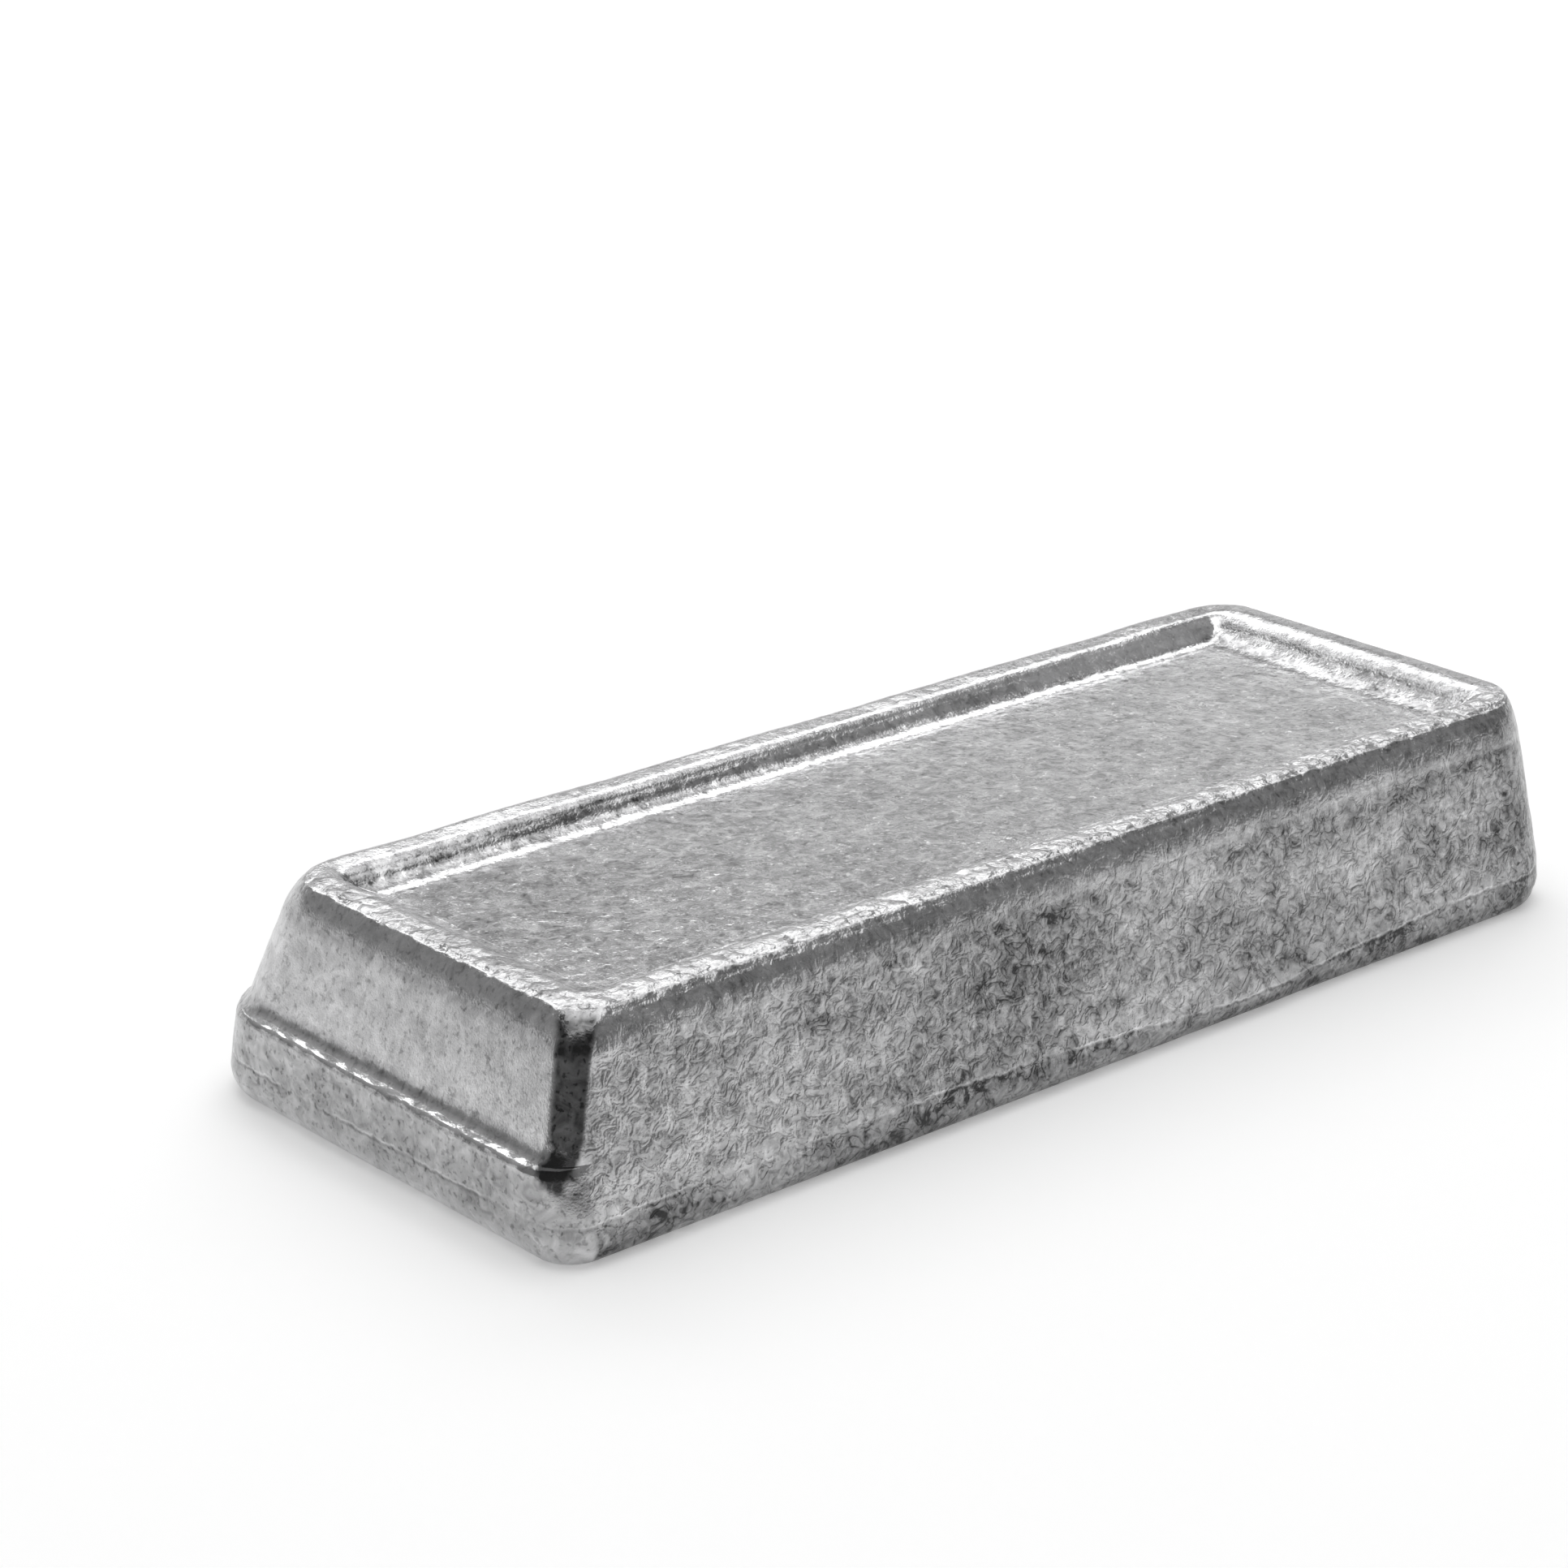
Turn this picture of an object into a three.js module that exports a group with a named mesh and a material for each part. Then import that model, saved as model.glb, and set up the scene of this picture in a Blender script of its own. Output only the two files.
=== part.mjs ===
// Cast metal ingot, standing the way it is turned out of its mould: the face that was
// poured open lies down, and the face that the mould's bottom shaped looks up.
//
// The ingot is one casting, so it is one solid. A stack of plan outlines is skinned from
// the pouring face, up the drafted walls, over the rim and down into the shallow recess:
// every outline is a rounded rectangle at one height, with its own ends, width and corners.
//
// Millimetres, +Z up. The origin is the middle of the footprint, on the floor.
// +X points to the plain end and -X to the end with the lug.
import * as THREE from "three";

// ---------------------------------------------------------------- driving dimensions, mm
const LENGTH = 252; // overall, from the lug's face to the plain end
const WIDTH = 106; // overall, across the long sides
const HEIGHT = 40; // overall, from the floor to the crest of the rim

// Draft of the walls, in degrees from upright, so that the casting drops out of its mould.
const SIDE_DRAFT = 14;
const PLAIN_END_DRAFT = 4;
const LUG_END_DRAFT = 18.5;

// The pouring face: liquid metal pulls its edge round before it sets. The side and plain
// end walls start where this edge ends, and the overall sizes in plan are measured there.
const POUR_EDGE_RISE = 4.8;
const POUR_EDGE_RUN = 3.9;

// The lug: a step over the whole width of one end, which filled the mould's pouring lip.
const LUG_HEIGHT = 17.3; // floor to the crest of the step
const LUG_LEDGE_DEPTH = 3.8; // from its face in to the end wall, at the top of the flare
const LUG_EDGE_RADIUS = 1.5; // convex crest of the step
const LUG_LEDGE_SLOPE = 12; // fall of the ledge at that crest, degrees from level
const LUG_FLARE_HEIGHT = 2.7; // concave sweep from the crest up into the end wall

// Corner radii in plan. The mould is worn, so each of its corners has a radius of its own.
const FOOT_CORNER_PLAIN_NEAR = 17;
const FOOT_CORNER_PLAIN_FAR = 12;
const LUG_CORNER_FAR = 16.6;
const LUG_CORNER_NEAR = 9;
const WALL_CORNER_PLAIN_NEAR = 15;
const WALL_CORNER_PLAIN_FAR = 8;
const WALL_CORNER_LUG_FAR = 15;
const WALL_CORNER_LUG_NEAR = 5;
const RIM_CREST_CORNER = 8;
const RECESS_CORNER = 1; // smallest radius, where the recess floor's edges meet

// The rim: a soft raised border. Its outer shoulder is rounder over the lug and the sides.
const RIM_SHOULDER_RISE = 6.8;
const RIM_SHOULDER_RUN_SIDE = 6;
const RIM_SHOULDER_RUN_PLAIN = 2.5;
const RIM_SHOULDER_RUN_LUG = 6.3;
const RIM_CREST_WIDTH = 2.5;

// The recess that the rim frames.
const RECESS_DEPTH = 4.5; // crest of the rim to the recess floor
const RECESS_LIP_RADIUS = 5; // convex, from the crest into the inner wall
const RECESS_WALL_SLOPE = 48; // inner wall, degrees from level
const RECESS_FLOOR_FILLET = 7.2; // concave, from the inner wall to the floor
const RECESS_PLAIN_END_EXTRA_RUN = 3; // the inner wall is longer and gentler at this end

// Facets: steps along each quarter turn of a plan corner, and along each rounded edge.
const CORNER_STEPS = 10;
const EDGE_STEPS = 8;

// ------------------------------------------------------------------------- plan outlines
const { degToRad, lerp, smoothstep } = THREE.MathUtils;
const QUARTER_TURN = Math.PI / 2;

// Corners run anticlockwise from above: plain near, plain far, lug far, lug near.
// The near long side faces -Y.
const FOOT_CORNERS = [
  FOOT_CORNER_PLAIN_NEAR,
  FOOT_CORNER_PLAIN_FAR,
  LUG_CORNER_FAR,
  LUG_CORNER_NEAR,
];
const WALL_CORNERS = [
  WALL_CORNER_PLAIN_NEAR,
  WALL_CORNER_PLAIN_FAR,
  WALL_CORNER_LUG_FAR,
  WALL_CORNER_LUG_NEAR,
];
const CREST_CORNERS = WALL_CORNERS.map(() => RIM_CREST_CORNER);

const mixCorners = (from, to, share) => from.map((radius, i) => lerp(radius, to[i], share));

/** Corner radii of the walls at a height, eased from the foot to the rim's shoulder. */
function cornersAt(z) {
  const share = smoothstep(z, POUR_EDGE_RISE, HEIGHT - RIM_SHOULDER_RISE);
  return mixCorners(FOOT_CORNERS, WALL_CORNERS, share);
}

/** Outline of the drafted walls at a height. The wall over the lug starts at its flare. */
function wallOutline(z) {
  const lift = Math.max(z - POUR_EDGE_RISE, 0);
  const overLug = z - LUG_HEIGHT - LUG_FLARE_HEIGHT;
  return {
    z,
    lugEnd: -LENGTH / 2 + LUG_LEDGE_DEPTH + overLug * Math.tan(degToRad(LUG_END_DRAFT)),
    plainEnd: LENGTH / 2 - lift * Math.tan(degToRad(PLAIN_END_DRAFT)),
    halfWidth: WIDTH / 2 - lift * Math.tan(degToRad(SIDE_DRAFT)),
    corners: WALL_CORNERS,
  };
}

/** Outline of the walls with the lug, whose face may be set back. */
function lugOutline(z, setBack = 0) {
  const [plainNear, plainFar] = cornersAt(z);
  return {
    ...wallOutline(z),
    lugEnd: -LENGTH / 2 + setBack,
    corners: [plainNear, plainFar, LUG_CORNER_FAR, LUG_CORNER_NEAR],
  };
}

/** An outline moved inwards, and to another height, by its own run on each side. */
function inset(outline, z, runs) {
  return {
    z,
    lugEnd: outline.lugEnd + runs.lugEnd,
    plainEnd: outline.plainEnd - runs.plainEnd,
    halfWidth: outline.halfWidth - runs.side,
    corners: outline.corners.map((radius) => Math.max(radius - runs.side, RECESS_CORNER)),
  };
}

/** The points of an outline, anticlockwise from above, one quarter turn at each corner. */
function outlinePoints({ z, lugEnd, plainEnd, halfWidth, corners }) {
  const [plainNear, plainFar, lugFar, lugNear] = corners;
  const turns = [
    { x: plainEnd - plainNear, y: plainNear - halfWidth, radius: plainNear },
    { x: plainEnd - plainFar, y: halfWidth - plainFar, radius: plainFar },
    { x: lugEnd + lugFar, y: halfWidth - lugFar, radius: lugFar },
    { x: lugEnd + lugNear, y: lugNear - halfWidth, radius: lugNear },
  ];
  return turns.flatMap(({ x, y, radius }, corner) =>
    Array.from({ length: CORNER_STEPS + 1 }, (_, step) => {
      const angle = (corner - 1 + step / CORNER_STEPS) * QUARTER_TURN;
      return new THREE.Vector3(x + radius * Math.cos(angle), y + radius * Math.sin(angle), z);
    }),
  );
}

// ------------------------------------------------------- stations, from the floor upwards
/** Even shares from 0 to 1, with both ends or without the 0. */
const shares = () => Array.from({ length: EDGE_STEPS + 1 }, (_, i) => i / EDGE_STEPS);
const laterShares = () => shares().slice(1);

/** Flat pouring face, then its rounded edge up to the foot of the walls. */
function pouringEdge() {
  return shares().map((share) => {
    const angle = share * QUARTER_TURN;
    const run = POUR_EDGE_RUN * (1 - Math.sin(angle));
    const foot = lugOutline(POUR_EDGE_RISE * (1 - Math.cos(angle)));
    return inset(foot, foot.z, { lugEnd: run, plainEnd: run, side: run });
  });
}

/** Upright face of the lug and its convex crest, which ends at the slope of the ledge. */
function lugCrest() {
  const crestTurn = degToRad(90 - LUG_LEDGE_SLOPE);
  const faceTop = LUG_HEIGHT - LUG_EDGE_RADIUS * Math.sin(crestTurn);
  return shares().map((share) => {
    const angle = share * crestTurn;
    const rise = LUG_EDGE_RADIUS * Math.sin(angle);
    return lugOutline(faceTop + rise, LUG_EDGE_RADIUS * (1 - Math.cos(angle)));
  });
}

/**
 * Concave sweep from the crest of the lug up into the end wall. It leaves the crest at the
 * ledge's slope and runs into the wall at its draft, round the corner where the two meet.
 */
function lugFlare(start) {
  const end = wallOutline(LUG_HEIGHT + LUG_FLARE_HEIGHT);
  const ledge = end.lugEnd - start.lugEnd;
  const ledgeSlope = Math.tan(degToRad(LUG_LEDGE_SLOPE));
  const wallSlope = 1 / Math.tan(degToRad(LUG_END_DRAFT));
  const bend = (wallSlope * ledge - LUG_FLARE_HEIGHT) / (wallSlope - ledgeSlope);
  const section = new THREE.QuadraticBezierCurve(
    new THREE.Vector2(0, start.z),
    new THREE.Vector2(bend, start.z + bend * ledgeSlope),
    new THREE.Vector2(ledge, end.z),
  );
  return laterShares().map((share) => {
    const { x: setBack, y: z } = section.getPoint(share);
    const inwards = setBack / ledge;
    const [plainNear, plainFar] = cornersAt(z);
    return {
      ...wallOutline(z),
      lugEnd: start.lugEnd + setBack,
      corners: [
        plainNear,
        plainFar,
        lerp(LUG_CORNER_FAR, WALL_CORNER_LUG_FAR, inwards),
        lerp(LUG_CORNER_NEAR, WALL_CORNER_LUG_NEAR, inwards),
      ],
    };
  });
}

/**
 * Outer shoulder of the rim: quarter ellipses that share one rise. Each leans inwards, so
 * that it leaves its wall at the wall's draft and reaches the crest level.
 */
function rimShoulder() {
  const base = wallOutline(HEIGHT - RIM_SHOULDER_RISE);
  return shares().map((share) => {
    const angle = share * QUARTER_TURN;
    const rise = RIM_SHOULDER_RISE * Math.sin(angle);
    const turned = 1 - Math.cos(angle);
    const setBack = (run, draft) => {
      const lean = Math.tan(degToRad(draft));
      return rise * lean + (run - RIM_SHOULDER_RISE * lean) * turned;
    };
    return {
      z: base.z + rise,
      lugEnd: base.lugEnd + setBack(RIM_SHOULDER_RUN_LUG, LUG_END_DRAFT),
      plainEnd: base.plainEnd - setBack(RIM_SHOULDER_RUN_PLAIN, PLAIN_END_DRAFT),
      halfWidth: base.halfWidth - setBack(RIM_SHOULDER_RUN_SIDE, SIDE_DRAFT),
      corners: mixCorners(WALL_CORNERS, CREST_CORNERS, turned),
    };
  });
}

/** From the crest over the lip, down the inner wall and round into the recess floor. */
function recess(crest) {
  const slope = degToRad(RECESS_WALL_SLOPE);
  const dropOf = (radius) => radius * (1 - Math.cos(slope));

  // A recess too shallow for both roundings gets smaller ones, in the same proportion.
  const room = RECESS_DEPTH / dropOf(RECESS_LIP_RADIUS + RECESS_FLOOR_FILLET);
  const lipRadius = RECESS_LIP_RADIUS * Math.min(room, 1);
  const filletRadius = RECESS_FLOOR_FILLET * Math.min(room, 1);
  const straightDrop = RECESS_DEPTH - dropOf(lipRadius + filletRadius);
  const wallRun = (lipRadius + filletRadius) * Math.sin(slope) + straightDrop / Math.tan(slope);

  const at = (run, drop) => {
    const past = RIM_CREST_WIDTH + run;
    const extra = RECESS_PLAIN_END_EXTRA_RUN * (run / wallRun);
    return inset(crest, HEIGHT - drop, { lugEnd: past, plainEnd: past + extra, side: past });
  };
  const lip = shares().map((share) => {
    const angle = share * slope;
    return at(lipRadius * Math.sin(angle), lipRadius * (1 - Math.cos(angle)));
  });
  const fillet = shares().map((share) => {
    const angle = (1 - share) * slope;
    const rise = filletRadius * (1 - Math.cos(angle));
    return at(wallRun - filletRadius * Math.sin(angle), RECESS_DEPTH - rise);
  });
  return [...lip, ...fillet];
}

// --------------------------------------------------------------------------------- solid
/** Skins a stack of outlines and closes it with a flat face at each end. */
function loft(outlines) {
  const rings = outlines.map(outlinePoints);
  const size = rings[0].length;
  const points = rings.flat();
  const faces = [];
  for (let low = 0; low < points.length - size; low += size) {
    for (let i = 0; i < size; i += 1) {
      const next = (i + 1) % size;
      faces.push(low + i, low + next, low + size + next);
      faces.push(low + i, low + size + next, low + size + i);
    }
  }

  const last = points.length - size;
  const middle = ({ lugEnd, plainEnd, z }) => new THREE.Vector3((lugEnd + plainEnd) / 2, 0, z);
  const bottom = points.push(middle(outlines[0])) - 1;
  const top = points.push(middle(outlines.at(-1))) - 1;
  for (let i = 0; i < size; i += 1) {
    const next = (i + 1) % size;
    faces.push(bottom, next, i);
    faces.push(top, last + i, last + next);
  }

  const geometry = new THREE.BufferGeometry().setFromPoints(points);
  geometry.setIndex(faces);
  geometry.computeVertexNormals();
  return geometry;
}

function buildIngot() {
  const crest = lugCrest();
  const shoulder = rimShoulder();
  const outlines = [
    ...pouringEdge(),
    ...crest,
    ...lugFlare(crest.at(-1)),
    ...shoulder,
    ...recess(shoulder.at(-1)),
  ];
  const castMetal = new THREE.MeshStandardMaterial({
    color: 0xc6c7c9,
    roughness: 0.42,
    metalness: 1,
  });
  const ingot = new THREE.Mesh(loft(outlines), castMetal);
  ingot.name = "ingot";
  return ingot;
}

const group = new THREE.Group();
group.name = "metal_ingot";
group.add(buildIngot());

export default group;
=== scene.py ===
"""Looks of a cast metal ingot: the skin of the casting, its finish, and the studio around it.

The casting is one piece. Its skin repeats the part's own sizes, in millimetres, as a fine
grid of rings from the pouring face up over the rim and down into the recess, and then gets
the relief of the mould: a lap, pits, a blistered rim and slow waves.
"""
from collections import namedtuple
from math import cos, pi, radians, sin, tan

import bpy
import numpy as np
from mathutils import Matrix, Vector, noise


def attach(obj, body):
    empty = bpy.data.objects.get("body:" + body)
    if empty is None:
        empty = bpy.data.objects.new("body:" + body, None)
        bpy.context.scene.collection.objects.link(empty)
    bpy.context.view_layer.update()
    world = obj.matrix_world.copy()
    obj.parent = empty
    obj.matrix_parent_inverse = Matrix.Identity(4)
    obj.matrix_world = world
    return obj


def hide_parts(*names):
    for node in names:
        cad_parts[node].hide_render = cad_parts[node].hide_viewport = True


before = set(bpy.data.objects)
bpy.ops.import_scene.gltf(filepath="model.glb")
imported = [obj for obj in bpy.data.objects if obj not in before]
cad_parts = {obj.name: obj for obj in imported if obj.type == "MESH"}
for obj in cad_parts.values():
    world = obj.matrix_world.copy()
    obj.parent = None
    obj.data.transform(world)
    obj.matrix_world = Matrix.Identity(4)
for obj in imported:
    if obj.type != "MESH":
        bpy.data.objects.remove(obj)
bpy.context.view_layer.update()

MM = 0.001

# ------------------------------------------------------------------ sizes of the part, mm
LENGTH, WIDTH, HEIGHT = 252.0, 106.0, 40.0
SIDE_DRAFT, PLAIN_END_DRAFT, LUG_END_DRAFT = radians(14), radians(4), radians(18.5)
POUR_EDGE_RISE, POUR_EDGE_RUN = 4.8, 3.9
LUG_HEIGHT, LUG_LEDGE_DEPTH, LUG_EDGE_RADIUS = 17.3, 3.8, 1.5
LUG_LEDGE_SLOPE, LUG_FLARE_HEIGHT = radians(12), 2.7
FLARE_TOP = LUG_HEIGHT + LUG_FLARE_HEIGHT
# Corner radii in plan: plain near, plain far, lug far, lug near
FOOT_CORNERS = np.array([17.0, 12.0, 16.6, 9.0])
WALL_CORNERS = np.array([15.0, 8.0, 15.0, 5.0])
CREST_CORNERS = np.full(4, 8.0)
RECESS_CORNER = 1.0
RIM_SHOULDER_RISE = 6.8
RIM_SHOULDER_RUN_LUG, RIM_SHOULDER_RUN_PLAIN, RIM_SHOULDER_RUN_SIDE = 6.3, 2.5, 6.0
SHOULDER_FOOT = HEIGHT - RIM_SHOULDER_RISE
RIM_CREST_WIDTH = 2.5
RECESS_DEPTH, RECESS_LIP_RADIUS, RECESS_FLOOR_FILLET = 4.5, 5.0, 7.2
RECESS_WALL_SLOPE, RECESS_PLAIN_END_EXTRA_RUN = radians(48), 3.0
RECESS_FLOOR = HEIGHT - RECESS_DEPTH

# --------------------------------------------------------------------- grid of the skin
LONG_COLUMNS = 240  # along each long side
END_COLUMNS = 84  # along each end
CORNER_COLUMNS = 16  # round each corner, an even number
END_SPAN, LONG_SPAN = END_COLUMNS + CORNER_COLUMNS, LONG_COLUMNS + CORNER_COLUMNS
# Rings in each stretch, with both its ends
POUR_RINGS, FACE_RINGS, LUG_EDGE_RINGS, FLARE_RINGS = 9, 15, 7, 11
WALL_RINGS, SHOULDER_RINGS, LIP_RINGS, FILLET_RINGS = 14, 15, 8, 10
CREST_SHARES = 3 / 4, 1 / 2, 1 / 4  # shares of the crest that are left at its inner rings
VERGE_START, CREST_START = radians(50), radians(66)  # how far the shoulder has turned there
BASE_STEP = 4  # the pouring face's grid is this many times coarser
BASE_SHARE = 0.985, 0.965, 1.0  # and is this share of the foot's outline along x, y and z

Outline = namedtuple("Outline", "z lug_end plain_end half_width corners")  # a ring in plan, mm
Row = namedtuple("Row", "zone outline")  # one ring of the skin and the zone it belongs to


def wall(z):
    """Outline of the drafted walls at a height."""
    lift = max(z - POUR_EDGE_RISE, 0.0)
    return Outline(
        z,
        -LENGTH / 2 + LUG_LEDGE_DEPTH + (z - FLARE_TOP) * tan(LUG_END_DRAFT),
        LENGTH / 2 - lift * tan(PLAIN_END_DRAFT),
        WIDTH / 2 - lift * tan(SIDE_DRAFT),
        WALL_CORNERS,
    )


def low_corners(z):
    """Corner radii at a height, easing from the foot's to those under the shoulder."""
    share = np.clip((z - POUR_EDGE_RISE) / (SHOULDER_FOOT - POUR_EDGE_RISE), 0, 1)
    eased = share * share * (3 - 2 * share)
    return FOOT_CORNERS + (WALL_CORNERS - FOOT_CORNERS) * eased


def lug(z, set_back=0.0):
    """Outline at a height of the lug, whose own two corners keep the foot's radii."""
    corners = low_corners(z)
    corners[2:] = FOOT_CORNERS[2:]
    return wall(z)._replace(lug_end=-LENGTH / 2 + set_back, corners=corners)


def inset(outline, z, lug_run, plain_run, side_run):
    """The outline at another height, drawn in at the lug end, the plain end and the sides."""
    return Outline(
        z,
        outline.lug_end + lug_run,
        outline.plain_end - plain_run,
        outline.half_width - side_run,
        np.maximum(outline.corners - side_run, RECESS_CORNER),
    )


def pouring_edge():
    """The poured edge, drawn round from the pouring face to the foot of the walls."""
    for turn in np.linspace(0, pi / 2, POUR_RINGS):
        run = POUR_EDGE_RUN * (1 - sin(turn))
        z = POUR_EDGE_RISE * (1 - cos(turn))
        yield Row("pour", inset(lug(z), z, run, run, run))


def lug_face_and_crest():
    """The upright face of the lug and the rounded edge on top of it."""
    whole_turn = pi / 2 - LUG_LEDGE_SLOPE
    face_top = LUG_HEIGHT - LUG_EDGE_RADIUS * sin(whole_turn)
    for z in np.linspace(POUR_EDGE_RISE, face_top, FACE_RINGS)[1:]:
        yield Row("face", lug(z))
    for turn in np.linspace(0, whole_turn, LUG_EDGE_RINGS)[1:]:
        z = face_top + LUG_EDGE_RADIUS * sin(turn)
        yield Row("ledge", lug(z, LUG_EDGE_RADIUS * (1 - cos(turn))))


def lug_flare(start):
    """Concave sweep round the corner where the ledge and the end wall would meet."""
    ledge = wall(FLARE_TOP).lug_end - start.lug_end
    ledge_slope, wall_slope = tan(LUG_LEDGE_SLOPE), 1 / tan(LUG_END_DRAFT)
    bend = (wall_slope * ledge - LUG_FLARE_HEIGHT) / (wall_slope - ledge_slope)
    for t in np.linspace(0, 1, FLARE_RINGS)[1:]:
        set_back = 2 * t * (1 - t) * bend + t * t * ledge
        z = start.z + 2 * t * (1 - t) * bend * ledge_slope + t * t * LUG_FLARE_HEIGHT
        corners = low_corners(z)
        corners[2:] = FOOT_CORNERS[2:] + (WALL_CORNERS - FOOT_CORNERS)[2:] * set_back / ledge
        yield Row("flare", wall(z)._replace(lug_end=start.lug_end + set_back, corners=corners))


def upper_walls():
    """The walls between the top of the flare and the foot of the shoulder."""
    for z in np.linspace(FLARE_TOP, SHOULDER_FOOT, WALL_RINGS)[1:-1]:
        corners = np.r_[low_corners(z)[:2], WALL_CORNERS[2:]]
        yield Row("wall", wall(z)._replace(corners=corners))


def shoulder_run(run, draft, turn):
    """How far in a shoulder has come once it has turned so far; it starts along its wall."""
    lean = RIM_SHOULDER_RISE * tan(draft)
    return lean * sin(turn) + (run - lean) * (1 - cos(turn))


def shoulder():
    """The rounded outer side of the rim, up to the crest."""
    base = wall(SHOULDER_FOOT)
    for turn in np.linspace(0, pi / 2, SHOULDER_RINGS):
        outline = inset(
            base,
            base.z + RIM_SHOULDER_RISE * sin(turn),
            shoulder_run(RIM_SHOULDER_RUN_LUG, LUG_END_DRAFT, turn),
            shoulder_run(RIM_SHOULDER_RUN_PLAIN, PLAIN_END_DRAFT, turn),
            shoulder_run(RIM_SHOULDER_RUN_SIDE, SIDE_DRAFT, turn),
        )
        corners = WALL_CORNERS + (CREST_CORNERS - WALL_CORNERS) * (1 - cos(turn))
        zone = "shoulder" if turn < VERGE_START else "verge" if turn < CREST_START else "crest"
        yield Row(zone, outline._replace(corners=corners))


def recess(crest):
    """Over the crest, down the inner wall and round into the recess floor."""
    slope = RECESS_WALL_SLOPE
    radii = RECESS_LIP_RADIUS + RECESS_FLOOR_FILLET
    straight = (RECESS_DEPTH - radii * (1 - cos(slope))) / tan(slope)
    wall_run = straight + radii * sin(slope)

    def inside(run, z):
        past = RIM_CREST_WIDTH + run
        extra = RECESS_PLAIN_END_EXTRA_RUN * max(run, 0) / wall_run
        return inset(crest, z, past, past + extra, past)

    for share in CREST_SHARES:
        yield Row("crest", inside(-RIM_CREST_WIDTH * share, HEIGHT))
    for turn in np.linspace(0, slope, LIP_RINGS):
        z = HEIGHT - RECESS_LIP_RADIUS * (1 - cos(turn))
        yield Row("lip", inside(RECESS_LIP_RADIUS * sin(turn), z))
    for turn in np.linspace(slope, 0, FILLET_RINGS):
        z = RECESS_FLOOR + RECESS_FLOOR_FILLET * (1 - cos(turn))
        yield Row("inner", inside(wall_run - RECESS_FLOOR_FILLET * sin(turn), z))


def profile():
    """Every ring of the skin, from the pouring face to the recess floor."""
    rows = [*pouring_edge(), *lug_face_and_crest()]
    rows += lug_flare(rows[-1].outline)
    rows += [*upper_walls(), *shoulder()]
    rows += recess(rows[-1].outline)
    return rows


def ring(outline):
    """Points of one outline, anticlockwise from the middle of the plain near corner."""
    ends = np.array([outline.plain_end, outline.plain_end, outline.lug_end, outline.lug_end])
    sides = outline.half_width * np.array([-1, 1, 1, -1])
    centres = np.column_stack([ends, sides])
    centres -= np.sign(centres) * outline.corners[:, None]
    arcs = []
    for quarter, (centre, radius) in enumerate(zip(centres, outline.corners)):
        angles = (quarter - 1) * pi / 2 + np.linspace(0, pi / 2, CORNER_COLUMNS + 1)
        arcs.append(centre + radius * np.column_stack([np.cos(angles), np.sin(angles)]))
    points = []
    for i, arc in enumerate(arcs):
        columns = LONG_COLUMNS if i % 2 else END_COLUMNS
        share = np.linspace(0, 1, columns + 1)[1:-1, None]
        points += [arc, arc[-1] + (arcs[(i + 1) % 4][0] - arc[-1]) * share]
    flat = np.roll(np.concatenate(points), -CORNER_COLUMNS // 2, axis=0)
    return np.column_stack([flat, np.full(len(flat), outline.z)])


def four_sides(closed_ring, end_span, long_span):
    """A ring cut at its corners into its plain, far, lug and near side, each with both ends."""
    points = np.concatenate([closed_ring, closed_ring[:1]])
    cuts = np.cumsum([0, end_span, long_span, end_span, long_span])
    return [points[start:end + 1] for start, end in zip(cuts, cuts[1:])]


def patch(sides):
    """Grid inside a closed ring of four sides, blended from them; its border is the ring."""
    plain, far, lug_side, near = sides
    u = np.linspace(0, 1, len(near))[None, :, None]
    v = np.linspace(0, 1, len(plain))[:, None, None]
    left, right = lug_side[::-1][:, None], plain[:, None]
    low, high = near[None], far[::-1][None]
    corners = (
        (1 - u) * (1 - v) * near[0] + u * (1 - v) * near[-1]
        + (1 - u) * v * far[-1] + u * v * far[0]
    )
    return (1 - u) * left + u * right + (1 - v) * low + v * high - corners


def quads(grid):
    """Faces between the neighbours in a grid of point numbers."""
    corners = grid[:-1, :-1], grid[:-1, 1:], grid[1:, 1:], grid[1:, :-1]
    return np.stack(corners, -1).reshape(-1, 4).tolist()


def recess_floor(last_ring, numbers, first):
    """New points inside the last ring, numbered from first, and the faces that use both."""
    inner = patch(four_sides(last_ring, END_SPAN, LONG_SPAN))[1:-1, 1:-1]
    plain, far, lug_side, near = four_sides(numbers, END_SPAN, LONG_SPAN)
    grid = np.zeros((END_SPAN + 1, LONG_SPAN + 1), int)
    grid[:, -1], grid[:, 0] = plain, lug_side[::-1]
    grid[-1], grid[0] = far[::-1], near
    grid[1:-1, 1:-1] = first + np.arange(inner.size // 3).reshape(inner.shape[:2])
    return inner.reshape(-1, 3), quads(grid)


def pouring_face(first_ring, first):
    """A coarser grid a little inside the first ring, and the faces that join the two."""
    coarse = first_ring[::BASE_STEP] * BASE_SHARE
    base = patch(four_sides(coarse, END_SPAN // BASE_STEP, LONG_SPAN // BASE_STEP))
    grid = first + np.arange(base.size // 3).reshape(base.shape[:2])
    faces = quads(grid.T)
    border = [*grid[:-1, -1], *grid[-1, :0:-1], *grid[:0:-1, 0], *grid[0, :-1]]
    for i, number in enumerate(border):
        fine = [(i * BASE_STEP + k) % len(first_ring) for k in range(BASE_STEP, -1, -1)]
        faces.append((number, border[(i + 1) % len(border)], *fine))
    return base.reshape(-1, 3), faces


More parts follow.
